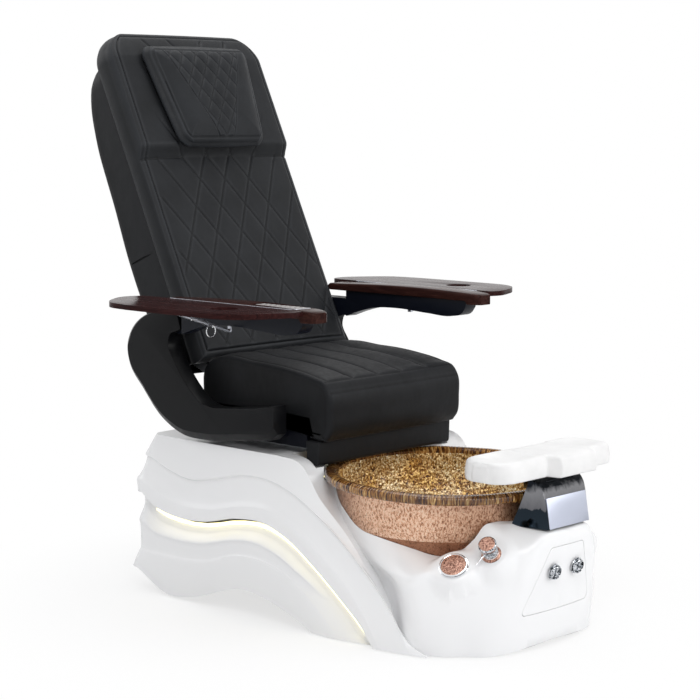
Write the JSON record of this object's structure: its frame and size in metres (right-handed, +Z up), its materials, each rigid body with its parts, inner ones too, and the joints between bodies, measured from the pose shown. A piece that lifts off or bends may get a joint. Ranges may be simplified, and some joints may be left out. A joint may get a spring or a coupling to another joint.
{
  "type": "pedicure spa chair",
  "caption": "Massage recliner on a moulded foot bath base, with a scooped glass-like bowl, flip-up side trays, lifting arms, lifting footrest and a pull-out spray.",
  "frame": {"origin": "floor point below the middle of the chair's bounding box", "axes": "+Z up, the sitter faces -Y, +X is the sitter's left"},
  "size_m": [1.091, 1.4607, 1.4755],
  "materials": {
    "amber_glass": "hammered gold-amber resin, glossy",
    "black_leather": "satin black upholstery with sewn seams",
    "black_plastic": "satin black",
    "burgundy_wood": "high gloss dark burgundy lacquer",
    "chrome": "polished",
    "gelcoat": "high gloss moulded gelcoat",
    "grey_plastic": "plain",
    "rose_copper": "hammered rose copper",
    "rubber": "matte",
    "satin_metal": "satin",
    "steel": "plain mill finish",
    "warm_led": "warm light diffuser",
    "white_pad": "soft satin moulded foam skin"
  },
  "bodies": {
    "base": {"base_shell": "gelcoat", "front_access_panel": "gelcoat", "foot_bowl": "amber_glass", "drain_strainer": "chrome", "drain_pump": "grey_plastic", "control_box": "grey_plastic", "floor_frame": "steel", "levelling_foot_1": "rubber", "levelling_foot_2": "rubber", "levelling_foot_3": "rubber", "levelling_foot_4": "rubber", "led_strip_left": "warm_led", "led_strip_right": "warm_led", "waterfall_spout": "chrome", "spout_front_plate": "satin_metal", "mixer_base": "rose_copper", "spray_socket": "chrome", "valve_bezel_left": "chrome", "valve_bezel_right": "chrome", "footrest_sleeve": "satin_metal", "slide_rail_left": "steel", "slide_rail_right": "steel"},
    "carriage": {"slide_runner_left": "satin_metal", "slide_runner_right": "satin_metal", "seat_pan": "black_plastic", "recline_motor": "steel", "seat_cushion": "black_leather", "seat_skirt": "black_leather", "side_frame_left": "black_plastic", "side_frame_right": "black_plastic", "arm_pivot_bolt_left": "chrome", "arm_pivot_bolt_right": "chrome"},
    "backrest": {"back_shell": "black_leather", "back_cushion": "black_leather", "back_frame": "steel"},
    "massage_carriage": {"massage_carriage": "grey_plastic"},
    "kneading_wheel_left": {"kneading_wheel_left": "grey_plastic"},
    "kneading_wheel_right": {"kneading_wheel_right": "grey_plastic"},
    "pillow": {"head_pillow": "black_leather"},
    "arm_left": {"arm_body_left": "black_plastic", "arm_cap_left": "burgundy_wood", "tray_hinge_pin_left": "satin_metal"},
    "arm_right": {"arm_body_right": "black_plastic", "arm_cap_right": "burgundy_wood", "tray_hinge_pin_right": "satin_metal", "keypad": "satin_metal"},
    "tray_left": {"tray_left": "burgundy_wood", "tray_stay_left": "satin_metal"},
    "tray_right": {"tray_right": "burgundy_wood", "tray_stay_right": "satin_metal"},
    "pull_ring": {"tray_pull_ring": "chrome"},
    "footrest": {"footrest_post": "chrome", "footrest": "white_pad"},
    "mixer_knob": {"mixer_knob": "chrome", "mixer_lever": "chrome"},
    "spray": {"spray_head": "rose_copper"},
    "valve_knob_left": {"valve_knob_left": "chrome"},
    "valve_knob_right": {"valve_knob_right": "chrome"}
  },
  "joints": [
    {"name": "seat_slide", "type": "slide", "parent": "base", "child": "carriage", "axis": [0, -1, 0], "range_m": [0, 0.1]},
    {"name": "recline", "type": "hinge", "parent": "carriage", "child": "backrest", "pos_m": [0, 0.2657, 0.585], "axis": [-1, 0, 0], "range_deg": [0, 35]},
    {"name": "massage_lift", "type": "slide", "parent": "backrest", "child": "massage_carriage", "axis": [0, 0.4305, 0.9026], "range_m": [-0.25, 0.28]},
    {"name": "knead_left", "type": "hinge", "parent": "massage_carriage", "child": "kneading_wheel_left", "pos_m": [0.055, 0.49119, 0.94278], "axis": [1, 0, 0], "continuous": true},
    {"name": "knead_right", "type": "hinge", "parent": "massage_carriage", "child": "kneading_wheel_right", "pos_m": [-0.055, 0.49119, 0.94278], "axis": [1, 0, 0], "continuous": true},
    {"name": "pillow_flap", "type": "hinge", "parent": "backrest", "child": "pillow", "pos_m": [0, 0.59521, 1.43494], "axis": [-1, 0, 0], "range_deg": [0, 80]},
    {"name": "arm_left_lift", "type": "hinge", "parent": "carriage", "child": "arm_left", "pos_m": [0, 0.3657, 0.722], "axis": [-1, 0, 0], "range_deg": [0, 80]},
    {"name": "arm_right_lift", "type": "hinge", "parent": "carriage", "child": "arm_right", "pos_m": [0, 0.3657, 0.722], "axis": [-1, 0, 0], "range_deg": [0, 80]},
    {"name": "tray_left_flip", "type": "hinge", "parent": "arm_left", "child": "tray_left", "pos_m": [0.3495, 0.0507, 0.7945], "axis": [0, -1, 0], "range_deg": [0, 95]},
    {"name": "tray_right_flip", "type": "hinge", "parent": "arm_right", "child": "tray_right", "pos_m": [-0.3495, 0.0507, 0.7945], "axis": [0, 1, 0], "range_deg": [0, 95]},
    {"name": "pull_ring_swing", "type": "hinge", "parent": "tray_right", "child": "pull_ring", "pos_m": [-0.4, 0.0725, 0.74404], "axis": [0, 1, 0], "range_deg": [-30, 30]},
    {"name": "footrest_lift", "type": "slide", "parent": "base", "child": "footrest", "axis": [0, 0, 1], "range_m": [0, 0.08]},
    {"name": "mixer_turn", "type": "hinge", "parent": "base", "child": "mixer_knob", "pos_m": [-0.1835, -0.6398, 0.245], "axis": [-0.6797, -0.2499, 0.6897], "range_deg": [-60, 60]},
    {"name": "spray_pull", "type": "slide", "parent": "base", "child": "spray", "axis": [-0.5793, -0.2397, 0.7791], "range_m": [0, 0.15]},
    {"name": "valve_left_turn", "type": "hinge", "parent": "base", "child": "valve_knob_left", "pos_m": [0.044, -0.7138, 0.193], "axis": [0, -0.9806, -0.1961], "range_deg": [0, 270]},
    {"name": "valve_right_turn", "type": "hinge", "parent": "base", "child": "valve_knob_right", "pos_m": [-0.044, -0.7138, 0.193], "axis": [0, -0.9806, -0.1961], "range_deg": [0, 270]}
  ]
}
